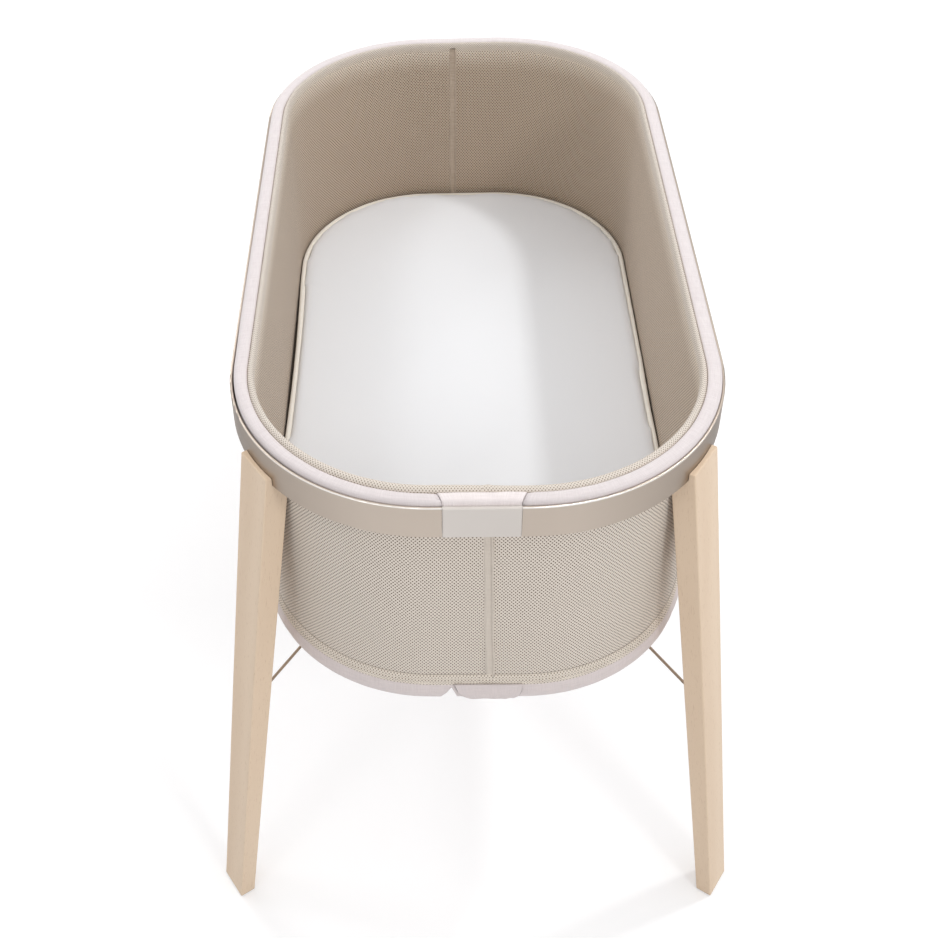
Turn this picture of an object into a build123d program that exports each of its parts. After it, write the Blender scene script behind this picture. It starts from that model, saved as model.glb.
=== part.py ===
from build123d import *
from math import cos, hypot, radians, sin, sqrt
import os

# Bassinet on stand: four splayed beech legs carry a flat aluminium rail in two halves, and a textile
# basket with mesh walls hangs in the rail. Two crossed rods tie the legs together below the basket.
# Millimetres, +Z up, origin on the floor under the centre, foot end at -Y.

# Rail: a J-shaped extrusion bent to a rounded rectangle, in a left and a right half
rail_width = 520
rail_length = 940
rail_radius = 212
rail_bottom = 695
rail_height = 40
rail_wall = 3
ledge_depth = 14
ledge_thickness = 3
lip_height = 13
lip_wall = 2
rail_rounding = 1.2

# Joiners between the two halves of the rail
cover_length = 76
cover_stand_out = 1.2
cover_bevel = 1
end_gap = 0.3
joiner_reach = 30
joiner_height = 6
joiner_screw = 4
joiner_screw_head = 7
joiner_head_height = 2.2
joiner_screw_pitch = 12
cover_screw_spread = 20

# Legs: tapered planks, turned to face outward at the corners of the rail
leg_angle = 34
leg_splay = 105
leg_cheek = 5
leg_rise = 10
leg_top_width = 52
leg_top_depth = 28
leg_foot_width = 43
leg_foot_depth = 20
leg_rounding = 1.5
leg_relief = 1
glide_thickness = 2
glide_margin = 1

# Bolts that pull each leg up under the rail
plate_length = 56
plate_thickness = 2.5
bolt_diameter = 5
bolt_head = 8
bolt_head_height = 3.5
bolt_length = 48
bolt_spread = 28
nut_diameter = 8
nut_length = 14
nut_drop = 36

# Crossed rods
rod_diameter = 3.5
rod_height = 350
rod_engagement = 12
ferrule_diameter = 9
ferrule_seat = 4
ferrule_stand_out = 4
clip_diameter = 22
clip_height = 12

# Textile basket
basket_side_inset = 21
basket_end_inset = 18
basket_corner_inset = 22
mesh_thickness = 5
basket_bottom = 428
base_fabric = 3
base_band = 20
base_tuck = 14
board_thickness = 14
hem_height = 18
hem_thickness = 2.5
hoop_width = 7
rim_width = 17
rim_rise = 8
rim_slope = 7
rim_drop = 22
roll_diameter = 9
rim_flap_length = 88
seam_tape_width = 10
seam_tape_thickness = 1.2
base_flap_length = 76
base_flap_height = 22
base_flap_thickness = 1.5

# Mattress
mattress_side_gap = 1.5
mattress_end_gap = 5
mattress_thickness = 51
cover_fabric = 2
base_sheet = 1.5
piping_diameter = 5
mattress_rounding = 4

# Clearances
fit = 0.3
hole_clearance = 0.5
thread_clearance = 0.1

# Heights and widths that follow from the sizes above
rail_top = rail_bottom + rail_height
ledge_top = rail_bottom + ledge_thickness
channel_outer = rail_wall + fit
channel_inner = ledge_depth - lip_wall - fit
channel_middle = (channel_outer + channel_inner) / 2
plate_top = ledge_top + plate_thickness
hoop_bottom = plate_top + bolt_head_height + fit
rim_top = rail_top + rim_rise
rim_bottom = rail_top - rim_drop
wall_top = rim_top - roll_diameter - thread_clearance
wall_bottom = basket_bottom + base_band
board_bottom = basket_bottom + base_fabric
mattress_bottom = board_bottom + board_thickness + fit
mattress_top = mattress_bottom + mattress_thickness
basket_width = rail_width - 2 * basket_side_inset
basket_length = rail_length - 2 * basket_end_inset
basket_radius = rail_radius - basket_corner_inset
mattress_width = basket_width - 2 * (mesh_thickness + mattress_side_gap)
mattress_length = basket_length - 2 * (mesh_thickness + mattress_end_gap)
mattress_radius = basket_radius - mesh_thickness - mattress_side_gap
hem_inset = -fit - hem_thickness
rail_end = cover_length / 2 + end_gap


def rail_outline(inset, mode=Mode.ADD):
    """Rounded rectangle that runs a given distance inside the rail's outer face."""
    RectangleRounded(rail_width - 2 * inset, rail_length - 2 * inset, rail_radius - inset, mode=mode)


def basket_outline(inset, mode=Mode.ADD):
    """Rounded rectangle that runs a given distance inside the basket's outer face."""
    RectangleRounded(basket_width - 2 * inset, basket_length - 2 * inset, basket_radius - inset, mode=mode)


def base_outline(inset):
    """Rounded rectangle of the base, whose long sides are tucked in below the walls."""
    RectangleRounded(
        basket_width - 2 * (base_tuck + inset),
        basket_length - 2 * inset,
        basket_radius - inset,
    )


def mattress_outline(inset):
    """Rounded rectangle that runs a given distance inside the mattress's outer edge."""
    RectangleRounded(mattress_width - 2 * inset, mattress_length - 2 * inset, mattress_radius - inset)


def j_profile(stand_out=0):
    """Section of the rail: outer wall, ledge and inner lip. X runs inward and Y runs up."""
    Polyline(
        (-stand_out, 0),
        (ledge_depth, 0),
        (ledge_depth, lip_height),
        (ledge_depth - lip_wall, lip_height),
        (ledge_depth - lip_wall, ledge_thickness),
        (rail_wall, ledge_thickness),
        (rail_wall, rail_height),
        (-stand_out, rail_height),
        close=True,
    )


os.makedirs("parts", exist_ok=True)

# ---------------------------------------------------------------- rail halves
# Bolts of the legs and screws of the joiners pass through the ledge, halfway across the channel.
corner_x = rail_width / 2 - rail_radius
corner_y = rail_length / 2 - rail_radius
leg_out = Vector(cos(radians(leg_angle)), sin(radians(leg_angle)), 0)
leg_along = Vector(-leg_out.Y, leg_out.X, 0)
rail_face = Vector(corner_x, corner_y, 0) + leg_out * rail_radius
bolt_radius = rail_radius - channel_middle
bolt_turn = bolt_spread / bolt_radius / 2
bolt_points = [
    Vector(
        corner_x + bolt_radius * cos(radians(leg_angle) + turn),
        corner_y + bolt_radius * sin(radians(leg_angle) + turn),
        0,
    )
    for turn in (-bolt_turn, bolt_turn)
]


def channel_spot(x):
    """Point on the middle line of the channel at the foot end, at a distance from the centre."""
    round_corner = max(x - corner_x, 0)
    return Vector(x, -corner_y - sqrt(bolt_radius**2 - round_corner**2), 0)


rail_screws = [channel_spot(rail_end + (i + 0.5) * joiner_screw_pitch) for i in range(2)]
cover_screw = channel_spot(cover_screw_spread)
front_start = Plane(origin=(0, -rail_length / 2, rail_bottom), x_dir=(0, 1, 0), z_dir=(1, 0, 0))


def half_ring():
    """Line of the rail's outer face round the right half, from the foot end to the head end."""
    FilletPolyline(
        (0, -rail_length / 2),
        (rail_width / 2, -rail_length / 2),
        (rail_width / 2, rail_length / 2),
        (0, rail_length / 2),
        radius=rail_radius,
    )


with BuildPart() as rail_right:
    with BuildLine(Plane.XY.offset(rail_bottom)) as rail_path:
        half_ring()
    with BuildSketch(front_start) as rail_section:
        with BuildLine():
            j_profile()
        make_face()
        fillet(rail_section.vertices().group_by(Axis.Y)[-1], rail_rounding)
    sweep(path=rail_path.wire())
    split(bisect_by=Plane.YZ.offset(rail_end), keep=Keep.TOP)
    rail_holes = [
        Location((point.X, side * point.Y, rail_bottom))
        for point in bolt_points + rail_screws
        for side in (-1, 1)
    ]
    with Locations(*rail_holes):
        Cylinder(
            (bolt_diameter + hole_clearance) / 2,
            ledge_thickness,
            align=(Align.CENTER, Align.CENTER, Align.MIN),
            mode=Mode.SUBTRACT,
        )
rail_right.part.label = "rail_right"
export_step(rail_right.part, "parts/rail_right.step")

with BuildPart() as rail_left:
    mirror(rail_right.part, about=Plane.YZ)
rail_left.part.label = "rail_left"
export_step(rail_left.part, "parts/rail_left.step")

# ---------------------------------------------------------------- joiners, made at the foot end
# A bar in the channel bridges the two rail ends, and a moulded cover of the rail's own section fills
# the gap between them.
joiner_length = 2 * (rail_end + joiner_reach)

with BuildPart() as joiner:
    with BuildSketch(Plane.XY.offset(ledge_top)):
        rail_outline(channel_outer)
        rail_outline(channel_inner, mode=Mode.SUBTRACT)
        with Locations((0, -rail_length / 2)):
            Rectangle(joiner_length, rail_radius, mode=Mode.INTERSECT)
    extrude(amount=joiner_height)
    joiner_screw_spots = [
        Location((side * point.X, point.Y, ledge_top))
        for point in rail_screws + [cover_screw]
        for side in (-1, 1)
    ]
    with Locations(*joiner_screw_spots):
        Cylinder(
            joiner_screw / 2 + thread_clearance,
            joiner_height,
            align=(Align.CENTER, Align.CENTER, Align.MIN),
            mode=Mode.SUBTRACT,
        )

with BuildPart() as joiner_cover:
    with BuildLine(Plane.XY.offset(rail_bottom)) as cover_path:
        half_ring()
    with BuildSketch(front_start) as cover_section:
        with BuildLine():
            j_profile(cover_stand_out)
        make_face()
        chamfer(cover_section.vertices().group_by(Axis.X)[0], cover_bevel)
    sweep(path=cover_path.wire())
    with BuildSketch(Plane.XY.offset(rail_bottom)):
        with Locations((0, -rail_length / 2)):
            Rectangle(cover_length, rail_radius)
    extrude(amount=rail_height, mode=Mode.INTERSECT)
    mirror(about=Plane.YZ)
    upright = joiner_cover.edges().filter_by(Axis.Z).group_by(Axis.X)
    chamfer([end.sort_by(Axis.Y)[0] for end in (upright[0], upright[-1])], cover_bevel)
    with Locations(*[Location((side * cover_screw.X, cover_screw.Y, rail_bottom)) for side in (-1, 1)]):
        Cylinder(
            (joiner_screw + hole_clearance) / 2,
            ledge_thickness,
            align=(Align.CENTER, Align.CENTER, Align.MIN),
            mode=Mode.SUBTRACT,
        )

for end, plane in (("front", None), ("rear", Plane.XZ)):
    for pattern, kind in ((joiner, "rail_joiner"), (joiner_cover, "joiner_cover")):
        with BuildPart() as piece:
            add(pattern.part if plane is None else pattern.part.mirror(plane))
        piece.part.label = f"{end}_{kind}"
        export_step(piece.part, f"parts/{end}_{kind}.step")

with BuildPart() as joiner_screws:
    with Locations(*[Location((point.X, point.Y, rail_bottom)) for point in rail_screws + [cover_screw]]):
        Cylinder(
            joiner_screw / 2,
            ledge_thickness + joiner_height,
            align=(Align.CENTER, Align.CENTER, Align.MIN),
        )
        Cylinder(
            joiner_screw_head / 2,
            joiner_head_height,
            align=(Align.CENTER, Align.CENTER, Align.MAX),
        )
    mirror(about=Plane.YZ)
    mirror(about=Plane.XZ)
joiner_screws.part.label = "joiner_screws"
export_step(joiner_screws.part, "parts/joiner_screws.step")

# ---------------------------------------------------------------- legs, made at the rear right corner
# The outer face leans out by the splay over the leg's height. The top is notched to sit under the
# rail, which leaves a cheek standing against the rail's outer face.
cheek_top = rail_bottom + leg_rise
lean = leg_splay / cheek_top
top_face = rail_face + leg_out * leg_cheek


def leg_face(height):
    """Middle of the leg's outer face at a height above the floor."""
    return top_face + leg_out * (lean * (cheek_top - height)) + Vector(0, 0, height)


def leg_depth(height):
    """Depth of the leg, from its outer to its inner face, at a height above the floor."""
    return leg_foot_depth + (leg_top_depth - leg_foot_depth) * height / cheek_top


def leg_width(height):
    """Width of the leg's outer face at a height above the floor."""
    return leg_foot_width + (leg_top_width - leg_foot_width) * height / cheek_top


def leg_plane(height):
    """Level plane with its origin on the outer face, X along the rail and Y inward."""
    return Plane(origin=leg_face(height), x_dir=leg_along, z_dir=(0, 0, 1))


inner_spot = leg_face(rod_height) - leg_out * leg_depth(rod_height)
rod_half = hypot(inner_spot.X, inner_spot.Y)
rod_way = Vector(inner_spot.X, inner_spot.Y, 0) / rod_half
rod_offset = (rod_diameter + fit) / 2
nut_height = rail_bottom - nut_drop


def rod_plane(way, distance, level):
    """Plane across a rod, at a distance from the middle of the stand."""
    return Plane(origin=way * distance + Vector(0, 0, level), z_dir=way)


def leg_with_rod_at(level):
    """One leg with its notch, bolt holes and the drilling for the rod that arrives at a level."""
    with BuildPart() as leg:
        for height in (glide_thickness, cheek_top):
            with BuildSketch(leg_plane(height)):
                Rectangle(leg_width(height), leg_depth(height), align=(Align.CENTER, Align.MIN))
        loft(ruled=True)
        long_edges = leg.edges().filter_by(lambda edge: edge.length > cheek_top / 2)
        fillet(long_edges + leg.faces().sort_by(Axis.Z)[-1].edges(), leg_rounding)
        with BuildSketch(Plane.XY.offset(rail_bottom)):
            rail_outline(-fit)
        extrude(amount=rail_height, mode=Mode.SUBTRACT)
        with BuildSketch(Plane.XY.offset(wall_bottom)):
            basket_outline(-leg_relief)
        extrude(amount=rail_bottom - wall_bottom, mode=Mode.SUBTRACT)
        for point in bolt_points:
            with Locations((point.X, point.Y, rail_bottom)):
                Cylinder(
                    (bolt_diameter + hole_clearance) / 2,
                    bolt_length,
                    align=(Align.CENTER, Align.CENTER, Align.MAX),
                    mode=Mode.SUBTRACT,
                )
            nut_end = point + leg_out * (nut_length / 2 + fit) + Vector(0, 0, nut_height)
            with BuildSketch(Plane(origin=nut_end, z_dir=-leg_out)):
                Circle((nut_diameter + hole_clearance) / 2)
            extrude(amount=leg_top_depth, mode=Mode.SUBTRACT)
        with BuildSketch(rod_plane(rod_way, rod_half - ferrule_stand_out, level)):
            Circle(ferrule_diameter / 2 + fit)
        extrude(amount=ferrule_stand_out + ferrule_seat, mode=Mode.SUBTRACT)
        with BuildSketch(rod_plane(rod_way, rod_half, level)):
            Circle((rod_diameter + hole_clearance) / 2)
        extrude(amount=ferrule_seat + rod_engagement, mode=Mode.SUBTRACT)
    return leg


with BuildPart() as clamp_plate:
    with BuildSketch(Plane.XY.offset(ledge_top)):
        rail_outline(channel_outer)
        rail_outline(channel_inner, mode=Mode.SUBTRACT)
        with Locations(Location((rail_face.X, rail_face.Y, 0), leg_angle)):
            Rectangle(plate_length, plate_length, mode=Mode.INTERSECT)
    extrude(amount=plate_thickness)
    with Locations(*[Location((point.X, point.Y, ledge_top)) for point in bolt_points]):
        Cylinder(
            (bolt_diameter + hole_clearance) / 2,
            plate_thickness,
            align=(Align.CENTER, Align.CENTER, Align.MIN),
            mode=Mode.SUBTRACT,
        )

with BuildPart() as glide:
    with BuildSketch(leg_plane(0)):
        with Locations((0, glide_margin)):
            Rectangle(
                leg_foot_width - 2 * glide_margin,
                leg_foot_depth - 2 * glide_margin,
                align=(Align.CENTER, Align.MIN),
            )
    extrude(amount=glide_thickness)

# Rod A joins the rear right and front left legs, and rod B crosses just below it.
upper_rod = rod_height + rod_offset
lower_rod = rod_height - rod_offset
leg_on_rod_a = leg_with_rod_at(upper_rod)
leg_on_rod_b = leg_with_rod_at(lower_rod)
corners = (
    ("rear_right", leg_on_rod_a, ()),
    ("rear_left", leg_on_rod_b, (Plane.YZ,)),
    ("front_right", leg_on_rod_b, (Plane.XZ,)),
    ("front_left", leg_on_rod_a, (Plane.YZ, Plane.XZ)),
)
for corner, leg, mirrors in corners:
    for pattern, kind in ((leg, "leg"), (clamp_plate, "clamp_plate"), (glide, "glide")):
        shape = pattern.part
        for plane in mirrors:
            shape = shape.mirror(plane)
        with BuildPart() as piece:
            add(shape)
        piece.part.label = f"{corner}_{kind}"
        export_step(piece.part, f"parts/{corner}_{kind}.step")

with BuildPart() as leg_bolts:
    with Locations(*[Location((point.X, point.Y, plate_top)) for point in bolt_points]):
        Cylinder(bolt_head / 2, bolt_head_height, align=(Align.CENTER, Align.CENTER, Align.MIN))
        Cylinder(
            bolt_diameter / 2,
            bolt_length,
            align=(Align.CENTER, Align.CENTER, Align.MAX),
        )
    mirror(about=Plane.YZ)
    mirror(about=Plane.XZ)
leg_bolts.part.label = "leg_bolts"
export_step(leg_bolts.part, "parts/leg_bolts.step")

with BuildPart() as barrel_nuts:
    for point in bolt_points:
        nut_end = point + leg_out * (nut_length / 2) + Vector(0, 0, nut_height)
        with BuildSketch(Plane(origin=nut_end, z_dir=-leg_out)):
            Circle(nut_diameter / 2)
        extrude(amount=nut_length)
        with Locations((point.X, point.Y, nut_height)):
            Cylinder(bolt_diameter / 2 + thread_clearance, nut_diameter, mode=Mode.SUBTRACT)
    mirror(about=Plane.YZ)
    mirror(about=Plane.XZ)
barrel_nuts.part.label = "barrel_nuts"
export_step(barrel_nuts.part, "parts/barrel_nuts.step")

# ---------------------------------------------------------------- crossed rods
way_a = rod_way
way_b = Vector(-rod_way.X, rod_way.Y, 0)
rod_end = rod_half + ferrule_seat + rod_engagement - hole_clearance

for name, way, level in (("brace_rod_a", way_a, upper_rod), ("brace_rod_b", way_b, lower_rod)):
    with BuildPart() as rod:
        with BuildSketch(rod_plane(way, -rod_end, level)):
            Circle(rod_diameter / 2)
        extrude(amount=2 * rod_end)
    rod.part.label = name
    export_step(rod.part, f"parts/{name}.step")

with BuildPart() as rod_ferrules:
    for way, level in ((way_a, upper_rod), (way_b, lower_rod)):
        for side in (-1, 1):
            with BuildSketch(rod_plane(way * side, rod_half - ferrule_stand_out, level)):
                Circle(ferrule_diameter / 2)
                Circle(rod_diameter / 2 + thread_clearance, mode=Mode.SUBTRACT)
            extrude(amount=ferrule_stand_out + ferrule_seat - fit)
rod_ferrules.part.label = "rod_ferrules"
export_step(rod_ferrules.part, "parts/rod_ferrules.step")

with BuildPart() as brace_clip:
    with BuildSketch(Plane.XY.offset(rod_height - clip_height / 2)):
        Circle(clip_diameter / 2)
    extrude(amount=clip_height)
    fillet(brace_clip.edges().filter_by(GeomType.CIRCLE), leg_rounding)
    for way, level in ((way_a, upper_rod), (way_b, lower_rod)):
        with BuildSketch(rod_plane(way, -clip_diameter, level)):
            Circle(rod_diameter / 2 + thread_clearance)
        extrude(amount=2 * clip_diameter, mode=Mode.SUBTRACT)
brace_clip.part.label = "brace_clip"
export_step(brace_clip.part, "parts/brace_clip.step")

# ---------------------------------------------------------------- textile basket
# A stiff hoop in the rim lies in the rail's channel, over the heads of the leg bolts.
with BuildPart() as hoop_right:
    with BuildSketch(Plane.XY.offset(hoop_bottom)):
        rail_outline(channel_middle - hoop_width / 2)
        rail_outline(channel_middle + hoop_width / 2, mode=Mode.SUBTRACT)
        with Locations((rail_end, 0)):
            Rectangle(rail_width, rail_length, align=(Align.MIN, Align.CENTER), mode=Mode.INTERSECT)
    extrude(amount=rim_bottom - hoop_bottom)
hoop_right.part.label = "rim_hoop_right"
export_step(hoop_right.part, "parts/rim_hoop_right.step")

with BuildPart() as hoop_left:
    mirror(hoop_right.part, about=Plane.YZ)
hoop_left.part.label = "rim_hoop_left"
export_step(hoop_left.part, "parts/rim_hoop_left.step")

with BuildPart() as rim_ring:
    with BuildSketch(Plane.XY.offset(rim_bottom)):
        rail_outline(channel_outer)
        rail_outline(rim_width, mode=Mode.SUBTRACT)
    extrude(amount=rim_top - rim_bottom)
    outer_edges = rim_ring.faces().sort_by(Axis.Z)[-1].outer_wire().edges()
    chamfer(outer_edges, rim_slope)

for name, mode in (("rim_band", Mode.SUBTRACT), ("front_rim_flap", Mode.INTERSECT)):
    with BuildPart() as piece:
        add(rim_ring.part)
        with BuildSketch(Plane.XY.offset(rim_bottom)):
            with Locations((0, -rail_length / 2)):
                Rectangle(rim_flap_length, rail_radius)
        extrude(amount=rim_top - rim_bottom, mode=mode)
    piece.part.label = name
    export_step(piece.part, f"parts/{name}.step")

roll_inset = rim_width + roll_diameter / 2 + thread_clearance
roll_x = rail_width / 2 - roll_inset
roll_y = rail_length / 2 - roll_inset
with BuildPart() as rim_roll:
    with BuildLine(Plane.XY.offset(rim_top - roll_diameter / 2)) as roll_path:
        FilletPolyline(
            (-roll_x, -roll_y),
            (roll_x, -roll_y),
            (roll_x, roll_y),
            (-roll_x, roll_y),
            radius=rail_radius - roll_inset,
            close=True,
        )
    roll_line = roll_path.wire()
    with BuildSketch(Plane(origin=roll_line @ 0, z_dir=roll_line % 0)):
        Circle(roll_diameter / 2)
    sweep(path=roll_line)
rim_roll.part.label = "rim_roll"
export_step(rim_roll.part, "parts/rim_roll.step")

# Two mesh walls meet at a seam in the middle of each end.
with BuildPart() as mesh_right:
    with BuildSketch(Plane.XY.offset(wall_bottom)):
        basket_outline(0)
        basket_outline(mesh_thickness, mode=Mode.SUBTRACT)
        Rectangle(rail_width, rail_length, align=(Align.MIN, Align.CENTER), mode=Mode.INTERSECT)
    extrude(amount=wall_top - wall_bottom)
mesh_right.part.label = "mesh_wall_right"
export_step(mesh_right.part, "parts/mesh_wall_right.step")

with BuildPart() as mesh_left:
    mirror(mesh_right.part, about=Plane.YZ)
mesh_left.part.label = "mesh_wall_left"
export_step(mesh_left.part, "parts/mesh_wall_left.step")

# The seam tape shows on the outside at the foot end and on the inside at the head end.
seam_spots = (
    ("front_seam_tape", -basket_length / 2 - seam_tape_thickness, wall_bottom + hem_height, rim_bottom),
    ("rear_seam_tape", basket_length / 2 - mesh_thickness - seam_tape_thickness, mattress_top, wall_top),
)
for name, face_y, low, high in seam_spots:
    with BuildPart() as tape:
        with BuildSketch(Plane.XY.offset(low)):
            with Locations((0, face_y)):
                Rectangle(seam_tape_width, seam_tape_thickness, align=(Align.CENTER, Align.MIN))
        extrude(amount=high - low)
    tape.part.label = name
    export_step(tape.part, f"parts/{name}.step")

with BuildPart() as base_hem:
    with BuildSketch(Plane.XY.offset(wall_bottom)):
        basket_outline(hem_inset)
        basket_outline(-fit, mode=Mode.SUBTRACT)
    extrude(amount=hem_height)
base_hem.part.label = "base_hem"
export_step(base_hem.part, "parts/base_hem.step")

# The base cover is a shallow tray of the rim's fabric, and the board inside it carries the mattress.
with BuildPart() as base_cover:
    with BuildSketch(Plane.XY.offset(basket_bottom)):
        base_outline(hem_inset)
    with BuildSketch(Plane.XY.offset(wall_bottom)):
        basket_outline(hem_inset)
    loft(ruled=True)
    with BuildSketch(Plane.XY.offset(board_bottom)):
        base_outline(base_fabric)
    with BuildSketch(Plane.XY.offset(wall_bottom)):
        basket_outline(base_fabric)
    loft(ruled=True, mode=Mode.SUBTRACT)
base_cover.part.label = "base_cover"
export_step(base_cover.part, "parts/base_cover.step")

with BuildPart() as base_board:
    with BuildSketch(Plane.XY.offset(board_bottom)):
        base_outline(base_fabric + fit)
    extrude(amount=board_thickness)
base_board.part.label = "base_board"
export_step(base_board.part, "parts/base_board.step")

with BuildPart() as base_flap:
    with BuildSketch(Plane.XY.offset(wall_bottom - base_flap_height)):
        with Locations((0, -basket_length / 2 + hem_inset)):
            Rectangle(base_flap_length, base_flap_thickness, align=(Align.CENTER, Align.MAX))
    extrude(amount=base_flap_height)
base_flap.part.label = "base_flap"
export_step(base_flap.part, "parts/base_flap.step")

# ---------------------------------------------------------------- mattress, which lifts out
piping_inset = piping_diameter / 2
cover_inset = piping_diameter + thread_clearance

with BuildPart() as foam:
    with BuildSketch(Plane.XY.offset(mattress_bottom + base_sheet)):
        mattress_outline(cover_inset + cover_fabric)
    extrude(amount=mattress_thickness - base_sheet - cover_fabric)
foam.part.label = "mattress_foam"
export_step(foam.part, "parts/mattress_foam.step")

with BuildPart() as mattress_cover:
    with BuildSketch(Plane.XY.offset(mattress_bottom + base_sheet)):
        mattress_outline(cover_inset)
    extrude(amount=mattress_thickness - base_sheet)
    fillet(mattress_cover.faces().sort_by(Axis.Z)[-1].edges(), mattress_rounding)
    add(foam.part, mode=Mode.SUBTRACT)
mattress_cover.part.label = "mattress_cover"
export_step(mattress_cover.part, "parts/mattress_cover.step")

with BuildPart() as mattress_base:
    with BuildSketch(Plane.XY.offset(mattress_bottom)):
        mattress_outline(cover_inset)
    extrude(amount=base_sheet)
mattress_base.part.label = "mattress_base_sheet"
export_step(mattress_base.part, "parts/mattress_base_sheet.step")

piping_x = mattress_width / 2 - piping_inset
piping_y = mattress_length / 2 - piping_inset
piping_levels = (
    ("mattress_piping_top", mattress_top - mattress_rounding - piping_diameter / 2),
    ("mattress_piping_bottom", mattress_bottom + piping_diameter / 2),
)
for name, level in piping_levels:
    with BuildPart() as piping:
        with BuildLine(Plane.XY.offset(level)) as piping_path:
            FilletPolyline(
                (-piping_x, -piping_y),
                (piping_x, -piping_y),
                (piping_x, piping_y),
                (-piping_x, piping_y),
                radius=mattress_radius - piping_inset,
                close=True,
            )
        piping_line = piping_path.wire()
        with BuildSketch(Plane(origin=piping_line @ 0, z_dir=piping_line % 0)):
            Circle(piping_diameter / 2)
        sweep(path=piping_line)
    piping.part.label = name
    export_step(piping.part, f"parts/{name}.step")
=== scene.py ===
from math import cos, pi, radians, sin

import bmesh
import bpy
from mathutils import Matrix, Vector, noise


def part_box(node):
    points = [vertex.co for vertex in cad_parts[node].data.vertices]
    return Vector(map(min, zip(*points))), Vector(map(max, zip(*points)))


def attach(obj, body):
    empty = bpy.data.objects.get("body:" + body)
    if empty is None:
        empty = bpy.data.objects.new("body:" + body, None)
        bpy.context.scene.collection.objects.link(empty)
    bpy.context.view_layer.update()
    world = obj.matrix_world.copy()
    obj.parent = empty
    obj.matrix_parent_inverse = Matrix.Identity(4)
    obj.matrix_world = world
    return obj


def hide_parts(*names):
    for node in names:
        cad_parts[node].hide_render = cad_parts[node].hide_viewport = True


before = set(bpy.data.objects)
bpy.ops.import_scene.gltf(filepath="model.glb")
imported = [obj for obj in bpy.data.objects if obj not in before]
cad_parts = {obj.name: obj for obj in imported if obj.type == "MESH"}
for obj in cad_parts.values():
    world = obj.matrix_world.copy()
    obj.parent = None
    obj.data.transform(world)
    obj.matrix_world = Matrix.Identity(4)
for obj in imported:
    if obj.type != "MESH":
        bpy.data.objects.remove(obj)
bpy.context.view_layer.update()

# Metres, +Z up, with the foot end at -Y. Outlines of sections are written as (outward, up) in millimetres.
mm = 0.001

# ---------- rail halves
# Two halves of a J-shaped aluminium extrusion, bent to a rounded rectangle. They are bead-blasted and
# anodised in a pale champagne, so the face is satin with faint draw lines that run round with it. The
# rounded top edge has a painted highlight where it faces the foot end, and the face has painted shade
# where it is seen at a slant.
_, rail_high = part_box("rail_right")
rail_radius = 212 * mm
rail_colour = (204, 191, 178)
# Colours of the painted highlight on the top edge and of the painted shade on the face seen at a slant.
edge_highlight_colour = (250, 247, 243)
slant_shade_colour = (132, 117, 103)
draw_line_pitch = 0.9 * mm


def tint(colour):
    """A colour written as sRGB bytes, in the linear values that a shader takes."""
    shares = [c / 255 for c in colour]
    return (*[s / 12.92 if s < 0.04 else ((s + 0.055) / 1.055) ** 2.4 for s in shares], 1.0)


def finish(name, colour, roughness, metallic=0.0):
    """A new finish. Plain values sit on the shader itself, and patterns are wired to it afterwards."""
    made = bpy.data.materials.new(name)
    made.use_nodes = True
    shader = made.node_tree.nodes["Principled BSDF"]
    shader.inputs["Base Color"].default_value = tint(colour)
    shader.inputs["Roughness"].default_value = roughness
    shader.inputs["Metallic"].default_value = metallic
    return made, made.node_tree, shader


def put(tree, kind, values=(), **options):
    """Add one node. Each pair in values fills a socket, or wires it to another node's output."""
    node = tree.nodes.new(kind)
    for option, value in options.items():
        setattr(node, option, value)
    for socket, value in values:
        if isinstance(value, bpy.types.NodeSocket):
            tree.links.new(value, node.inputs[socket])
        else:
            node.inputs[socket].default_value = value
    return node


def coordinate(tree, kind="Object"):
    """One of a piece's texture coordinates."""
    return put(tree, "ShaderNodeTexCoord").outputs[kind]


def part_of(tree, vector, axis):
    """One of a vector's three numbers."""
    return put(tree, "ShaderNodeSeparateXYZ", [(0, vector)]).outputs[axis]


def maths(tree, operation, *terms):
    return put(tree, "ShaderNodeMath", enumerate(terms), operation=operation).outputs[0]


def ramp(tree, value, low, high, kind="LINEAR"):
    """Value turned to a mask that rises from 0 at low to 1 at high."""
    pairs = [("Value", value), ("From Min", low), ("From Max", high)]
    return put(tree, "ShaderNodeMapRange", pairs, interpolation_type=kind).outputs[0]


def between(tree, share, first, second):
    """Blend of two colours by a share."""
    pairs = [(0, share), (6, first), (7, second)]
    return put(tree, "ShaderNodeMix", pairs, data_type="RGBA").outputs[2]


def relief(tree, shader, height, strength, distance):
    """Wire a height to the shader as bumps that stand a distance proud."""
    pairs = [("Strength", strength), ("Distance", distance), ("Height", height)]
    bump = put(tree, "ShaderNodeBump", pairs)
    tree.links.new(bump.outputs["Normal"], shader.inputs["Normal"])


def effect(name, takes, gives):
    """A new node group with named inputs and outputs, and the nodes at its two ends."""
    group = bpy.data.node_groups.new(name, "ShaderNodeTree")
    for socket, kind, value in takes:
        made = group.interface.new_socket(socket, in_out="INPUT", socket_type=kind)
        if value is not None:
            made.default_value = value
    for socket in gives:
        group.interface.new_socket(socket, in_out="OUTPUT", socket_type="NodeSocketFloat")
    return group, put(group, "NodeGroupInput").outputs, put(group, "NodeGroupOutput")


def dress(nodes, made):
    """Give CAD pieces their finish."""
    for name in nodes:
        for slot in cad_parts[name].material_slots:
            slot.material = made


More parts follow.
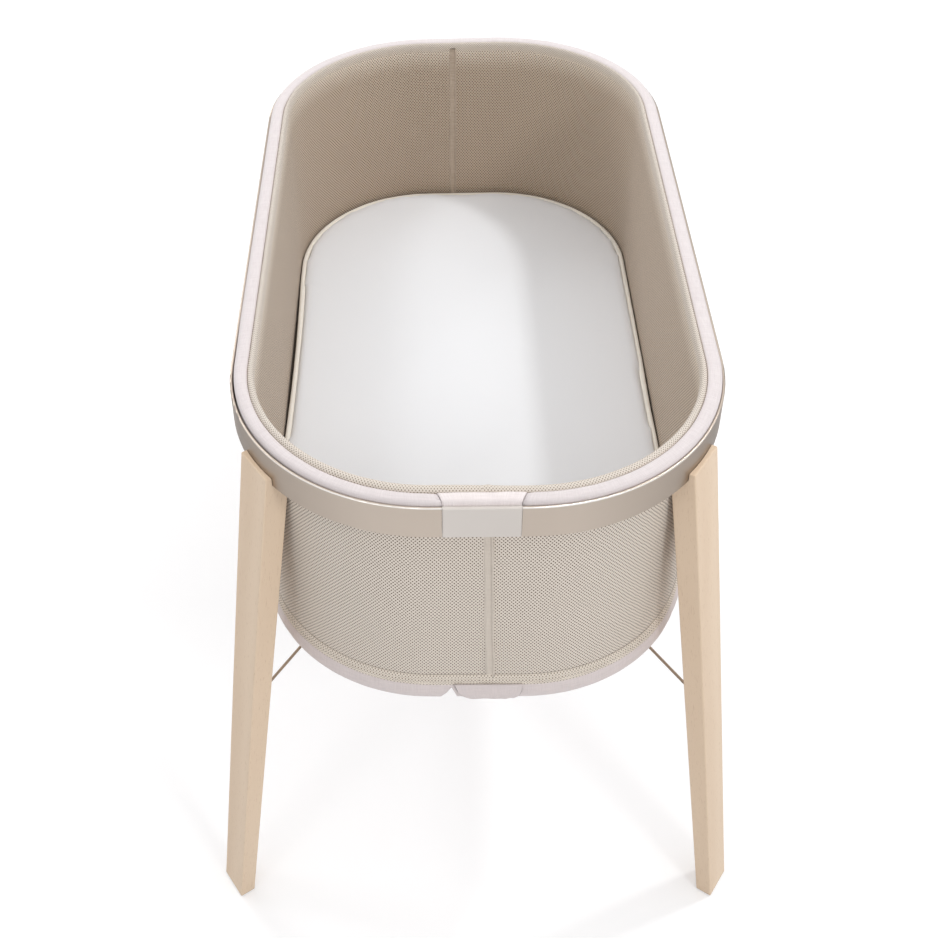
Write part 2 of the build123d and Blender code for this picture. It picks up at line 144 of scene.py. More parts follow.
drawn_metal, drawn_in, drawn_out = effect(
    "drawn_metal",
    [
        ("Vector", "NodeSocketVector", None),
        ("Pitch", "NodeSocketFloat", draw_line_pitch),
        ("Cloudiness", "NodeSocketFloat", 6.0),
    ],
    ["Line", "Cloud"],
)
line_scale = put(drawn_metal, "ShaderNodeCombineXYZ", [(0, 3.0), (1, 3.0)])
drawn_metal.links.new(maths(drawn_metal, "DIVIDE", 1.0, drawn_in["Pitch"]), line_scale.inputs[2])
pairs = [(0, drawn_in["Vector"]), (1, line_scale.outputs[0])]
stretched = put(drawn_metal, "ShaderNodeVectorMath", pairs, operation="MULTIPLY")
lines = put(drawn_metal, "ShaderNodeTexNoise", [("Vector", stretched.outputs[0]), ("Scale", 1.0)])
pairs = [("Vector", drawn_in["Vector"]), ("Scale", drawn_in["Cloudiness"]), ("Detail", 3.0)]
clouds = put(drawn_metal, "ShaderNodeTexNoise", pairs)
drawn_metal.links.new(lines.outputs[0], drawn_out.inputs["Line"])
drawn_metal.links.new(clouds.outputs[0], drawn_out.inputs["Cloud"])


def metal(name, colour, roughness, metallic, pitch=draw_line_pitch):
    """A drawn metal: faint lines along the rail and slow changes of tone and gloss."""
    made, tree, shader = finish(name, colour, roughness, metallic)
    pairs = [("Vector", coordinate(tree)), ("Pitch", pitch)]
    drawn = put(tree, "ShaderNodeGroup", pairs, node_tree=drawn_metal)
    paler = tuple(min(c + 8, 255) for c in colour)
    darker = tuple(c - 6 for c in colour)
    shade = between(tree, drawn.outputs["Cloud"], tint(darker), tint(paler))
    tree.links.new(shade, shader.inputs["Base Color"])
    pairs = [("Value", drawn.outputs["Line"]), ("To Min", roughness - 0.05), ("To Max", roughness + 0.05)]
    gloss = put(tree, "ShaderNodeMapRange", pairs)
    tree.links.new(gloss.outputs[0], shader.inputs["Roughness"])
    relief(tree, shader, drawn.outputs["Line"], 0.12, 0.02 * mm)
    return made


# A painted highlight lightens the top edge where it faces the foot end, and painted shade darkens the
# face where it is seen at a slant.
champagne = metal("champagne_anodised", rail_colour, 0.36, 1.0)
tree = champagne.node_tree
shader = tree.nodes["Principled BSDF"]
height = part_of(tree, coordinate(tree), 2)
crest = ramp(tree, height, rail_high.z - 2.0 * mm, rail_high.z - 1.0 * mm)
to_foot = ramp(tree, part_of(tree, coordinate(tree, "Normal"), 1), -0.3, -0.85)
slant = put(tree, "ShaderNodeLayerWeight").outputs["Facing"]
slant_shade_mask = ramp(tree, slant, 0.35, 0.85)
body = between(tree, slant_shade_mask, shader.inputs["Base Color"].links[0].from_socket, tint(slant_shade_colour))
highlighted_edge = between(tree, maths(tree, "MULTIPLY", crest, to_foot), body, tint(edge_highlight_colour))
tree.links.new(highlighted_edge, shader.inputs["Base Color"])
dress(["rail_left", "rail_right"], champagne)

# ---------- joiner covers, joiners and screws
# At each end a moulded cover of the rail's own section hides the gap between the halves. It is lacquered
# in a warm grey, and left bare. The joiner bar and its screws under it are plain zinc-plated steel.
dress(["front_joiner_cover", "rear_joiner_cover"], metal("cover_lacquer", (207, 200, 194), 0.6, 0.0))
zinc_plate = metal("zinc_plate", (176, 178, 180), 0.32, 1.0, pitch=0.4 * mm)
dress(["front_rail_joiner", "rear_rail_joiner", "joiner_screws"], zinc_plate)

# ---------- legs and glides
# Tapered planks of solid beech under a clear matt lacquer. The grain runs down each leaning leg, with
# soft growth bands and the short dark flecks that mark beech. A felt-grey glide is glued to each foot.
leg_angle = radians(34)
leg_lean = 105 / 705
leg_colours = ((226, 204, 179), (209, 182, 153), (176, 141, 110))
growth_pitch = 9 * mm

beech_grain, beech_in, beech_out = effect(
    "beech_grain",
    [("Vector", "NodeSocketVector", None), ("Growth", "NodeSocketFloat", growth_pitch)],
    ["Band", "Fleck", "Pore"],
)


def stretched_noise(tree, vector, scale, detail, rough=0.5):
    """Noise on a vector that is first scaled along each axis."""
    wide = put(tree, "ShaderNodeVectorMath", [(0, vector), (1, scale)], operation="MULTIPLY")
    pairs = [("Vector", wide.outputs[0]), ("Scale", 1.0), ("Detail", detail), ("Roughness", rough)]
    return put(tree, "ShaderNodeTexNoise", pairs).outputs[0]


def steps(tree, value, low, high):
    """The mask of ramp, with soft ends."""
    return ramp(tree, value, low, high, "SMOOTHSTEP")


def grained(name, colour, roughness, shades, scale, detail, strength, depth):
    """A fine-grained finish: noise between two shades, which stands a little proud as well."""
    made, tree, shader = finish(name, colour, roughness)
    grain = stretched_noise(tree, coordinate(tree), scale, detail)
    tree.links.new(between(tree, grain, tint(shades[0]), tint(shades[1])), shader.inputs["Base Color"])
    relief(tree, shader, grain, strength, depth)
    return made


across = put(beech_grain, "ShaderNodeSeparateXYZ", [(0, beech_in["Vector"])]).outputs
wander = stretched_noise(beech_grain, beech_in["Vector"], (14, 14, 2.2), 2.0)
growth = maths(beech_grain, "DIVIDE", across[0], beech_in["Growth"])
growth = maths(beech_grain, "ADD", growth, maths(beech_grain, "MULTIPLY", wander, 7.0))
band = maths(beech_grain, "MULTIPLY_ADD", maths(beech_grain, "SINE", growth), 0.5, 0.5)
fleck = stretched_noise(beech_grain, beech_in["Vector"], (900, 900, 110), 2.0)
pore = stretched_noise(beech_grain, beech_in["Vector"], (2600, 2600, 60), 3.0, 0.6)
for output, value in (("Band", band), ("Fleck", steps(beech_grain, fleck, 0.6, 0.72)), ("Pore", pore)):
    beech_grain.links.new(value, beech_out.inputs[output])

for corner, side_x, side_y in (
    ("rear_right", 1, 1),
    ("rear_left", -1, 1),
    ("front_right", 1, -1),
    ("front_left", -1, -1),
):
    outward = Vector((side_x * cos(leg_angle), side_y * sin(leg_angle), 0))
    up = (Vector((0, 0, 1)) - outward * leg_lean).normalized()
    along = Vector((-outward.y, outward.x, 0))
    turn = Matrix((along, up.cross(along), up)).transposed().to_euler()
    foot_low, foot_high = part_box(f"{corner}_glide")
    made, tree, shader = finish(f"beech_{corner}", leg_colours[0], 0.5)
    pairs = [("Vector", coordinate(tree)), ("Location", (foot_low + foot_high) / 2), ("Rotation", turn)]
    laid = put(tree, "ShaderNodeMapping", pairs, vector_type="TEXTURE")
    grain = put(tree, "ShaderNodeGroup", [("Vector", laid.outputs[0])], node_tree=beech_grain)
    shade = tint(leg_colours[0])
    for effect_name, share, colour in (
        ("Band", 0.38, leg_colours[1]),
        ("Pore", 0.3, leg_colours[1]),
        ("Fleck", 0.32, leg_colours[2]),
    ):
        mask = maths(tree, "MULTIPLY", grain.outputs[effect_name], share)
        shade = between(tree, mask, shade, tint(colour))
    tree.links.new(shade, shader.inputs["Base Color"])
    relief(tree, shader, grain.outputs["Pore"], 0.15, 0.05 * mm)
    shader.inputs["Coat Weight"].default_value = 0.12
    shader.inputs["Coat Roughness"].default_value = 0.35
    dress([f"{corner}_leg"], made)

felt_shades = ((118, 108, 98), (172, 162, 150))
felt = grained("felt_glide", (148, 138, 126), 0.95, felt_shades, (1800, 1800, 700), 4.0, 0.5, 0.3 * mm)
corners = [f"{end}_{side}" for end in ("front", "rear") for side in ("left", "right")]
dress([f"{corner}_glide" for corner in corners], felt)

# ---------- clamp plates, bolts and barrel nuts
# A steel plate in the rail's channel spreads the load of two bolts, which pass the ledge into cross
# dowels in the leg. All are zinc-plated.
dress([f"{corner}_clamp_plate" for corner in corners], zinc_plate)
dress(["leg_bolts", "barrel_nuts"], zinc_plate)

# ---------- crossed rods
# Two steel rods tie opposite legs below the basket. They are painted taupe. The ferrules at their ends
# and the moulded clip that holds them where they cross share one darker finish.
dress(["brace_rod_a", "brace_rod_b"], metal("rod_paint", (158, 138, 118), 0.42, 0.2, pitch=0.5 * mm))
clip_shades = ((124, 108, 92), (140, 124, 108))
clip_grain = (1500, 1500, 1500)
clip_plastic = grained("clip_plastic", (132, 116, 100), 0.55, clip_shades, clip_grain, 2.0, 0.25, 0.05 * mm)
dress(["rod_ferrules", "brace_clip"], clip_plastic)

# ---------- hoop
# A stiff moulded hoop in two halves is sewn into the basket's rim and rests in the rail's channel.
hoop_shades = ((188, 180, 172), (206, 198, 190))
hoop_grain = (1200, 1200, 1200)
hoop_plastic = grained("hoop_plastic", (198, 190, 182), 0.6, hoop_shades, hoop_grain, 2.0, 0.25, 0.05 * mm)
dress(["rim_hoop_left", "rim_hoop_right"], hoop_plastic)

# ---------- rim band
# A strip of plain-woven pink-beige cloth, folded over the hoop and sewn down on its inner side. It lies
# just inside the rail and crowns a little above it, with small ripples all the way round.
rail_half = (rail_high.x, rail_high.y)
cloth_thickness = 1.2 * mm
flap_reach_rail = 38 * mm
flap_reach_roll = 45 * mm
band_ripple = 0.35 * mm
crown_start = 733 * mm
slack_place = (-225 * mm, -330 * mm)
slack_reach = (95 * mm, 150 * mm)
most_slack = 1.5  # mm
seam_inset_sides = 19.3  # mm
seam_draw_foot = 3.9  # mm
fold_inset = 5  # mm
crown_sink_foot = 1.0 * mm
crown_top_start = 738 * mm
flap_seam_start = 4 * mm
flap_seam_run = 15 * mm
tuck_depth = 0.9
tuck_run = 8 * mm
slant_run = 60 * mm
rim_steps = 420
band_colours = ((208, 199, 199), (222, 214, 214))
thread_pitch = 0.55 * mm


def round_the_rim(share, half, radius):
    """Point and outward direction at a share of the way round, anticlockwise from the foot end."""
    flat_x, flat_y = half[0] - radius, half[1] - radius
    bend = radius * pi / 2
    quarter = flat_x + bend + flat_y
    way = (share % 1.0) * 4 * quarter
    mirror_x, mirror_y = way > 2 * quarter, quarter < way < 3 * quarter
    way = 4 * quarter - way if mirror_x else way
    way = 2 * quarter - way if way > quarter else way
    if way < flat_x:
        spot, out = (way, -half[1]), (0.0, -1.0)
    elif way < flat_x + bend:
        angle = (way - flat_x) / radius
        out = (sin(angle), -cos(angle))
        spot = (flat_x + radius * out[0], -flat_y + radius * out[1])
    else:
        spot, out = (half[0], way - flat_x - bend - flat_y), (1.0, 0.0)
    turn_x, turn_y = (-1 if mirror_x else 1), (-1 if mirror_y else 1)
    return Vector((spot[0] * turn_x, spot[1] * turn_y, 0)), Vector((out[0] * turn_x, out[1] * turn_y, 0))


def folded(line, thickness):
    """Closed outline of a strip of cloth that follows a line of (outward, up) points."""
    sides = ([], [])
    for i, (out, up) in enumerate(line):
        before, after = line[max(i - 1, 0)], line[min(i + 1, len(line) - 1)]
        run = Vector((after[0] - before[0], after[1] - before[1])).normalized() * thickness / 2
        sides[0].append((out - run.y, up + run.x))
        sides[1].append((out + run.y, up - run.x))
    return sides[0] + sides[1][::-1]


def placed(name, data):
    """A new object, put in the scene."""
    piece = bpy.data.objects.new(name, data)
    bpy.context.scene.collection.objects.link(piece)
    return piece


def skin(name, loops, closed=True, caps=(0, -1)):
    """Faces skinned over closed loops, with a UV map in metres along and round it."""
    count, around = len(loops), len(loops[0])
    spans = count if closed else count - 1
    shell = bmesh.new()
    grid = [[shell.verts.new(point) for point in loop] for loop in loops]
    cloth = shell.loops.layers.uv.new("cloth")
    along = [0.0]
    for i in range(spans):
        near, far = loops[i], loops[(i + 1) % count]
        along.append(along[-1] + sum((b - a).length for a, b in zip(near, far)) / around)
    girth = [0.0]
    for j in range(around):
        girth.append(girth[-1] + (loops[0][(j + 1) % around] - loops[0][j]).length)
    for i in range(spans):
        for j in range(around):
            k, m = (i + 1) % count, (j + 1) % around
            face = shell.faces.new((grid[i][j], grid[k][j], grid[k][m], grid[i][m]))
            for corner, (u, v) in zip(face.loops, ((i, j), (i + 1, j), (i + 1, j + 1), (i, j + 1))):
                corner[cloth].uv = (along[u], girth[v])
    if not closed:
        ends = [shell.faces.new(grid[end]) for end in caps]
        bmesh.ops.triangulate(shell, faces=ends, ngon_method="EAR_CLIP")
    if closed or len(caps) == 2:
        bmesh.ops.recalc_face_normals(shell, faces=shell.faces)
    for face in shell.faces:
        face.smooth = True
    mesh = bpy.data.meshes.new(name)
    shell.to_mesh(mesh)
    shell.free()
    return placed(name, mesh)


def ripple(spot, size, seed):
    """Slow change along the cloth, from -1 to 1."""
    return noise.noise(Vector((spot.x / size, spot.y / size, spot.z / size + seed)))


woven_cloth, woven_in, woven_out = effect(
    "woven_cloth",
    [("Vector", "NodeSocketVector", None), ("Thread", "NodeSocketFloat", thread_pitch)],
    ["Height", "Slub"],
)


def waves(tree, vector, axis, pitch, wave="SINE"):
    """A wave along one axis of a vector, one full turn for each pitch."""
    turns = maths(tree, "DIVIDE", part_of(tree, vector, axis), pitch)
    return maths(tree, wave, maths(tree, "MULTIPLY", turns, 2 * pi))


warp = waves(woven_cloth, woven_in["Vector"], 0, woven_in["Thread"])
weft = waves(woven_cloth, woven_in["Vector"], 1, woven_in["Thread"])
over = maths(woven_cloth, "MULTIPLY_ADD", maths(woven_cloth, "MULTIPLY", warp, weft), 0.5, 0.5)
slub_along = stretched_noise(woven_cloth, woven_in["Vector"], (60, 1500, 1), 2.0)
slub_across = stretched_noise(woven_cloth, woven_in["Vector"], (1500, 60, 1), 2.0)
slub = maths(woven_cloth, "MULTIPLY", maths(woven_cloth, "ADD", slub_along, slub_across), 0.5)
woven_cloth.links.new(over, woven_out.inputs["Height"])
woven_cloth.links.new(slub, woven_out.inputs["Slub"])


def woven(name, colours, thread=thread_pitch):
    """Plain-woven cloth on a piece's own UV map."""
    made, tree, shader = finish(name, colours[0], 0.85)
    place = put(tree, "ShaderNodeUVMap", uv_map="cloth").outputs[0]
    weave = put(tree, "ShaderNodeGroup", [("Vector", place), ("Thread", thread)], node_tree=woven_cloth)
    shade = maths(tree, "MULTIPLY_ADD", weave.outputs["Height"], 0.35, -0.12)
    shade = maths(tree, "ADD", shade, steps(tree, weave.outputs["Slub"], 0.3, 0.7))
    blended = between(tree, shade, tint(colours[0]), tint(colours[1]))
    tree.links.new(blended, shader.inputs["Base Color"])
    relief(tree, shader, weave.outputs["Height"], 0.4, 0.15 * mm)
    shader.inputs["Sheen Weight"].default_value = 0.25
    shader.inputs["Sheen Roughness"].default_value = 0.5
    return made


rim_cloth = woven("rim_cloth", band_colours)
band_line = [
    (-3.9, 714.0), (-3.9, 722.0), (-3.9, 730.0), (-3.8, 735.2), (-4.1, 738.0), (-5.3, 739.7),
    (-7.6, 740.9), (-10.6, 741.5), (-13.8, 741.8), (-16.6, 741.6), (-18.4, 740.8), (-19.1, 739.2),
    (-18.6, 735.6), (-17.4, 731.0), (-16.4, 722.0), (-16.2, 714.0),
]  # fmt: skip
band_section = folded([(out * mm, up * mm) for out, up in band_line], cloth_thickness)


def seam_inset(out):
    """How far in from the rail's outer face the band is sewn to the roll. It is nearer at the foot end."""
    return (seam_inset_sides + seam_draw_foot * min(0.0, out.y)) * mm


def band_round(out):
    """The band's section, drawn in or out to reach the seam."""
    start = fold_inset * mm
    draw = (seam_inset(out) - start) / ((seam_inset_sides - fold_inset) * mm)
    sink = crown_sink_foot * max(0.0, -out.y)
    return [
        (away, up) if away > -start else (-start + (away + start) * draw, up - sink * (up > crown_top_start))
        for away, up in band_section
    ]


def rim_loop(share, section, half=rail_half, radius=rail_radius, slide=None):
    """One loop across the rim. Slide gives a sideways shift for each point of the section."""
    spot, out = round_the_rim(share, half, radius)
    side = Vector((-out.y, out.x, 0))
    return [
        spot + out * away + side * (slide(away) if slide else 0.0) + Vector((0, 0, up))
        for away, up in section
    ]


def seam_reach(away):
    """Half length of the front flap at a distance in from the rail's outer face."""
    share = (-away - flap_seam_start) / flap_seam_run
    return flap_reach_rail + (flap_reach_roll - flap_reach_rail) * share


def corner_slack(spot):
    """Share by which the band is drawn away from the rail, most at the foot end's left corner."""
    shares = [1 - ((at - place) / reach) ** 2 for at, place, reach in zip(spot, slack_place, slack_reach)]
    return max(0.0, shares[0]) * max(0.0, shares[1])


rim_girth = 4 * (sum(rail_half) - 2 * rail_radius + rail_radius * pi / 2)
flap_share = flap_reach_roll / rim_girth
band_loops = []
for step in range(rim_steps + 1):
    share = flap_share + (1 - 2 * flap_share) * step / rim_steps
    spot, out = round_the_rim(share, rail_half, rail_radius)
    lift = ripple(spot, 34 * mm, 0.0) * band_ripple
    to_end = min(share, 1 - share) * rim_girth
    slack = corner_slack(spot) * most_slack * mm
    section = [
        (away - slack * max(0.0, 1 + (away + 3 * mm) / (8 * mm)), up + lift * (up > crown_start))
        for away, up in band_round(out)
    ]
    tuck = max(0.0, 1 - (to_end - flap_reach_roll) / tuck_run)
    section = [(away, up - tuck * tuck_depth * mm * (up > crown_start)) for away, up in section]
    sign = 1 if share < 0.5 else -1
    ease = max(0.0, 1 - (to_end - flap_reach_roll) / slant_run)
    band_loops.append(
        rim_loop(
            share,
            section,
            slide=lambda away: sign * ease * (seam_reach(away) - flap_reach_roll + 0.5 * mm),
        )
    )
rim_band_cloth = skin("rim_band_cloth", band_loops, closed=False)
rim_band_cloth.data.materials.append(rim_cloth)
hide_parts("rim_band")
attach(rim_band_cloth, "stand")

# ---------- front flap of the rim
# A short separate length of the same weave closes the band at the foot end. It is painted a little paler
# than the band, as painted light. Its ends are sewn on the slant, and it lies fuller than the band, with
# slack creases between the two seams.
flap_fullness = 0.9 * mm
flap_steps = 48
flap_loops = []
for step in range(flap_steps + 1):
    place = 2 * step / flap_steps - 1
    swell = flap_fullness * (1 - place**8)
    loop = []
    for away, up in band_round(Vector((0, -1, 0))):
        x = place * (seam_reach(away) - 0.3 * mm)
        crease = noise.noise(Vector((x * 75, away * 160, 3.7))) * 0.7 * mm
        rise = (swell + crease * (1 - place**4)) * (up > crown_start)
        loop.append(Vector((x, -rail_half[1] - away, up + rise)))
    flap_loops.append(loop)
front_flap_cloth = skin("front_flap_cloth", flap_loops, closed=False)
# The paler colours are painted light on the band's weave.
front_flap_cloth.data.materials.append(woven("flap_rim_cloth", ((220, 210, 209), (236, 227, 226))))
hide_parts("front_rim_flap")
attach(front_flap_cloth, "stand")

# ---------- rolled edge of the mesh
# The spacer mesh is turned over a soft filler along the rim, and sewn to the band. The roll is full and
# round on top and runs smoothly down into the wall. At the foot end one half laps over the other.
mesh_colours = ((106, 90, 75), (228, 218, 207), (211, 200, 188))
roll_colours = ((148, 133, 117), (227, 218, 208), (211, 201, 190))
# Painted light and shade for the inside of the mesh: paler just under the rim, darker lower down.
inner_shade_colours = ((66, 51, 38), (203, 185, 166), (184, 166, 146))
under_rim_lit_colours = ((92, 76, 60), (232, 219, 203), (214, 200, 183))
mesh_pitch = 4.0 * mm
mesh_row = 2.5 * mm
lap_length = 12 * mm

spacer_mesh, spacer_in, spacer_out = effect(
    "spacer_mesh",
    [
        ("Vector", "NodeSocketVector", None),
        ("Pitch", "NodeSocketFloat", mesh_pitch),
        ("Row", "NodeSocketFloat", mesh_row),
    ],
    ["Hole", "Height", "Yarn"],
)
warble = stretched_noise(spacer_mesh, spacer_in["Vector"], (60, 60, 1), 1.0)
pairs = [(0, spacer_in["Vector"]), (1, (1.0, 1.0, 1.0))]
shifted = put(spacer_mesh, "ShaderNodeVectorMath", pairs, operation="MULTIPLY_ADD")
spacer_mesh.links.new(maths(spacer_mesh, "MULTIPLY", warble, 1.2 * mm), shifted.inputs[2])
columns = waves(spacer_mesh, shifted.outputs[0], 0, spacer_in["Pitch"], "COSINE")
double_row = maths(spacer_mesh, "MULTIPLY", spacer_in["Row"], 2.0)
rows = waves(spacer_mesh, shifted.outputs[0], 1, double_row, "COSINE")
lattice = maths(spacer_mesh, "MULTIPLY", columns, rows)
yarn = stretched_noise(spacer_mesh, spacer_in["Vector"], (1400, 1900, 1), 2.0)
hole = steps(spacer_mesh, lattice, 0.15, 0.7)
height = maths(spacer_mesh, "MULTIPLY_ADD", yarn, 0.25, maths(spacer_mesh, "SUBTRACT", 1.0, hole))
for output, value in (("Hole", hole), ("Height", height), ("Yarn", yarn)):
    spacer_mesh.links.new(value, spacer_out.inputs[output])


def mesh_cloth(name, colours, pitch=mesh_pitch, row=mesh_row, depth=0.8 * mm, below=None, rise=None):
    """Knitted spacer mesh: pale yarn round staggered holes that show the dark inside.

    Below and rise paint light and shade by height: below gives the colours that it turns to further down, and
    rise the heights between which it turns.
    """
    made, tree, shader = finish(name, colours[1], 0.8)
    place = put(tree, "ShaderNodeUVMap", uv_map="cloth").outputs[0]
    pairs = [("Vector", place), ("Pitch", pitch), ("Row", row)]
    knit = put(tree, "ShaderNodeGroup", pairs, node_tree=spacer_mesh)
    yarn_shade = between(tree, knit.outputs["Yarn"], tint(colours[2]), tint(colours[1]))
    shade = between(tree, knit.outputs["Hole"], yarn_shade, tint(colours[0]))
    if below:
        turn = steps(tree, part_of(tree, coordinate(tree), 2), *rise)
        low_yarn = between(tree, knit.outputs["Yarn"], tint(below[2]), tint(below[1]))
        low_shade = between(tree, knit.outputs["Hole"], low_yarn, tint(below[0]))
        shade = between(tree, turn, low_shade, shade)
    tree.links.new(shade, shader.inputs["Base Color"])
    relief(tree, shader, knit.outputs["Height"], 0.7, depth)
    shader.inputs["Sheen Weight"].default_value = 0.15
    shader.inputs["Sheen Roughness"].default_value = 0.5
    return made


def wall_inset(out):
    """How far in from the rail's outer face the inside of the mesh wall lies, by its direction."""
    return (27 - abs(out.x) - 4 * abs(out.y)) * mm


roll_line = [
    (0.0, 738.2), (0.06, 740.4), (0.2, 742.3), (0.42, 743.4), (0.64, 743.2), (0.82, 741.9),
    (0.94, 739.6), (1.0, 736.2),
]  # fmt: skip
roll_tail = [(0.15, 731.0), (-0.05, 726.0), (-0.1, 720.0), (-0.8, 719.6), (-1.4, 725.0), (-2.6, 731.0)]
roll_back = [(21.6, 733.6), (20.0, 735.6)]
roll_loops = []
# In millimetres, the roll is wider at the foot end and narrower at the head end, and one half laps over
# the other in the middle of the foot end.
for step in range(rim_steps):
    spot, out = round_the_rim(step / rim_steps, rail_half, rail_radius)
    inset = wall_inset(out) / mm
    near, far = max(0.0, -out.y), max(0.0, out.y)
    lapping = max(-1.0, min(1.0, -spot.x / (2 * lap_length))) * near
    width = 7.2 + 3.2 * near - 2.8 * far - 0.4 * abs(out.x) + 0.5 * lapping
    near_lap = max(0.0, 1 - abs(spot.x - lap_length / 2) / (lap_length / 2)) * (spot.y < 0)
    swell = ripple(spot, 26 * mm, 5.0) * 0.3 + near_lap * 1.1 - 0.5 * near - 1.5 * far + 0.6 * lapping
    section = [
        (-seam_inset(out) - (0.1 + width * share) * mm, (up + swell * (up - 736) / 7) * mm)
        for share, up in roll_line
    ]
    section += [(-(inset + away) * mm, up * mm) for away, up in roll_tail]
    section += [(-away * mm, up * mm) for away, up in roll_back]
    roll_loops.append(rim_loop(step / rim_steps, section))
mesh_roll = skin("mesh_roll", roll_loops)
# Below its crown the roll turns to the paler inside colours, which are painted light.
roll_mesh = mesh_cloth(
    "roll_mesh", roll_colours, 3.2 * mm, 2.0 * mm, below=under_rim_lit_colours, rise=(724 * mm, 739 * mm)
)
mesh_roll.data.materials.append(roll_mesh)
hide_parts("rim_roll")
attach(mesh_roll, "stand")

# ---------- stitches of the rim
# A lockstitch in thick brown-beige thread closes the join of band and roll all the way round. Each
# stitch is a short bead of thread that lies along the seam.
stitch_pitch = 3.4 * mm
stitch_length = 2.6 * mm
stitch_thickness = 0.8 * mm


def row_of_stitches():
    """Node tree that lays one bead of thread at every step of a line."""
    tree = bpy.data.node_groups.new("row_of_stitches", "GeometryNodeTree")
    sockets = {}
    for name, kind, value in (
        ("Line", "NodeSocketGeometry", None),
        ("Pitch", "NodeSocketFloat", stitch_pitch),
        ("Length", "NodeSocketFloat", stitch_length),
        ("Thickness", "NodeSocketFloat", stitch_thickness),
        ("Thread", "NodeSocketMaterial", None),
    ):
        made = tree.interface.new_socket(name, in_out="INPUT", socket_type=kind)
        if value is not None:
            made.default_value = value
        sockets[name] = made.identifier
    tree.interface.new_socket("Stitches", in_out="OUTPUT", socket_type="NodeSocketGeometry")
    given = put(tree, "NodeGroupInput").outputs
    path = put(tree, "GeometryNodeMeshToCurve", [("Mesh", given["Line"])])
    pairs = [("Curve", path.outputs[0]), ("Length", given["Pitch"])]
    spaced = put(tree, "GeometryNodeResampleCurve", pairs, mode="LENGTH")
    bead = put(tree, "GeometryNodeMeshUVSphere", [("Segments", 6), ("Rings", 4), ("Radius", 0.5)])
    pairs = [(0, given["Length"]), (1, given["Thickness"]), (2, given["Thickness"])]
    size = put(tree, "ShaderNodeCombineXYZ", pairs)
    pairs = [("Geometry", bead.outputs["Mesh"]), ("Scale", size.outputs[0])]
    drawn = put(tree, "GeometryNodeTransform", pairs)
    run = put(tree, "GeometryNodeInputTangent")
    turned = put(tree, "FunctionNodeAlignRotationToVector", [("Vector", run.outputs[0])], axis="X")
    pairs = [("Points", spaced.outputs[0]), ("Instance", drawn.outputs[0]), ("Rotation", turned.outputs[0])]
    laid = put(tree, "GeometryNodeInstanceOnPoints", pairs)
    real = put(tree, "GeometryNodeRealizeInstances", [(0, laid.outputs[0])])
    smooth = put(tree, "GeometryNodeSetShadeSmooth", [(0, real.outputs[0])])
    pairs = [("Geometry", smooth.outputs[0]), ("Material", given["Thread"])]
    thread = put(tree, "GeometryNodeSetMaterial", pairs)
    put(tree, "NodeGroupOutput", [(0, thread.outputs[0])])
    return tree, sockets


def thread_finish(name, colours):
    """Twisted sewing thread."""
    made, tree, shader = finish(name, colours[0], 0.7)
    twist = stretched_noise(tree, coordinate(tree), (2500, 2500, 2500), 1.0)
    tree.links.new(between(tree, twist, tint(colours[0]), tint(colours[1])), shader.inputs["Base Color"])
    return made


stitch_tree, stitch_sockets = row_of_stitches()


def sew(name, lines, thread, thickness=stitch_thickness):
    """Stitches along one or more closed lines of points, made into a plain mesh."""
    path = bpy.data.meshes.new(name + "_line")
    points, edges = [], []
    for line in lines:
        first = len(points)
        points += line
        edges += [(first + i, first + (i + 1) % len(line)) for i in range(len(line))]
    path.from_pydata(points, edges, [])
    holder = placed(name + "_line", path)
    rule = holder.modifiers.new("stitches", "NODES")
    rule.node_group = stitch_tree
    values = {"Pitch": stitch_pitch, "Length": stitch_length, "Thickness": thickness, "Thread": thread}
    for socket, value in values.items():
        rule[stitch_sockets[socket]] = value
    seen = holder.evaluated_get(bpy.context.evaluated_depsgraph_get())
    mesh = bpy.data.meshes.new_from_object(seen)
    bpy.data.objects.remove(holder)
    piece = placed(name, mesh)
    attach(piece, "stand")
    return piece


seam_thread = thread_finish("seam_thread", ((176, 156, 136), (150, 130, 110)))
seam_line = []
for step in range(rim_steps):
    _, out = round_the_rim(step / rim_steps, rail_half, rail_radius)
    seam_height = (740.2 + 0.8 * min(0.0, out.y)) * mm
    seam_line += rim_loop(step / rim_steps, [(-seam_inset(out) - 0.2 * mm, seam_height)])
sew("rim_stitches", [seam_line], seam_thread)

# ---------- mesh walls
# Each wall is half of the basket's side: one piece of 5 mm spacer mesh from the middle of the foot end to
# the middle of the head end, hanging from the rim. It is firm, and gives only slow shallow waves.
wall_low, wall_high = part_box("mesh_wall_right")
wall_half = (wall_high.x, wall_high.y)
wall_radius = 190 * mm
wall_thickness = 5 * mm
wall_steps = 190
wall_rows = 30
wall_wave = 0.9 * mm
wall_flat = [half - wall_radius for half in wall_half]
front_seam = 9.5 * mm
rear_seam = -10.0 * mm
# Outer and inner faces are one mesh. The inner face takes a copy with painted light and shade: paler just
# under the rim, darker lower down.
mesh_outside = mesh_cloth("mesh_outside", mesh_colours)
mesh_inside_shaded = mesh_cloth(
    "mesh_inside_shaded", under_rim_lit_colours, below=inner_shade_colours, rise=(694 * mm, 735 * mm)
)


def wall_section(spot):
    """Outline of the wall's cut edge: the outer face going up, then the inner face coming down."""
    outer, inner = [], []
    for row in range(wall_rows + 1):
        share = row / wall_rows
        up = wall_low.z + (wall_high.z - wall_low.z) * share
        free = sin(pi * share)
        wave = ripple(Vector((spot.x, spot.y, up)), 120 * mm, 9.0) * wall_wave * free
        outer.append((wave, up))
        inner.append((wave - wall_thickness, up))
    return outer + inner[::-1]


